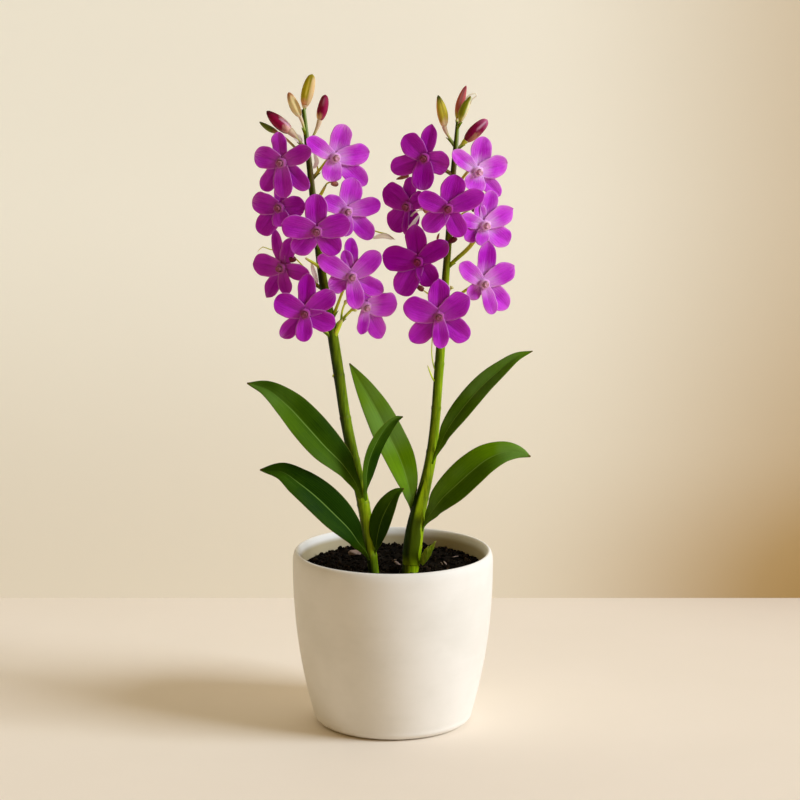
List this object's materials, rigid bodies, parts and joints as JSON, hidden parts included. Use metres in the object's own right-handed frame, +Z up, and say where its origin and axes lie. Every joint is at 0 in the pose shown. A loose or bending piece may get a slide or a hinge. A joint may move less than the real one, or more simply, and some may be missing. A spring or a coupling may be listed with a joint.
{
  "type": "potted dendrobium orchid",
  "caption": "Potted orchid: two upright leafy canes with racemes of purple blooms and buds, in a plain white ceramic pot of potting mix that stands on its flat base.",
  "frame": {"origin": "centre of the pot's flat underside", "axes": "+Z up; the blooms and leaves look towards -Y, +X is to the right as they are seen from there"},
  "size_m": [0.167, 0.12, 0.3884],
  "materials": {
    "ceramic": "matte",
    "potting_mix": "rough",
    "bark": "rough",
    "cane": "satin",
    "leaf": "satin",
    "sheath": "satin",
    "shoot": "satin",
    "petal": "soft satin",
    "column": "satin",
    "bud_green": "satin",
    "bud_peach": "satin",
    "bud_purple": "satin"
  },
  "bodies": {
    "root": {"pot": "ceramic", "potting_mix": "potting_mix", "bark_chip": "bark", "cane_left": "cane", "cane_right": "cane", "leaf_left_upper": "leaf", "leaf_left_lower": "leaf", "leaf_left_inner": "leaf", "leaf_left_low": "leaf", "leaf_right_tall": "leaf", "leaf_right_upper": "leaf", "leaf_right_lower": "leaf", "sheath_right": "sheath", "shoot_right": "shoot", "bloom_L1": "petal", "bloom_L2": "petal", "bloom_L3": "petal", "bloom_L4": "petal", "bloom_L5": "petal", "bloom_L6": "petal", "bloom_L7": "petal", "bloom_L8": "petal", "bloom_L9": "petal", "bloom_R1": "petal", "bloom_R2": "petal", "bloom_R3": "petal", "bloom_R4": "petal", "bloom_R5": "petal", "bloom_R6": "petal", "bloom_R7": "petal", "bloom_R8": "petal", "column_L1": "column", "column_L2": "column", "column_L3": "column", "column_L4": "column", "column_L5": "column", "column_L6": "column", "column_L7": "column", "column_L8": "column", "column_L9": "column", "column_R1": "column", "column_R2": "column", "column_R3": "column", "column_R4": "column", "column_R5": "column", "column_R6": "column", "column_R7": "column", "column_R8": "column", "bud_L1": "bud_green", "bud_L2": "bud_peach", "bud_L3": "bud_purple", "bud_L4": "bud_green", "bud_L5": "bud_purple", "bud_R1": "bud_green", "bud_R2": "bud_purple", "bud_R3": "bud_green", "bud_R4": "bud_purple"}
  },
  "joints": []
}
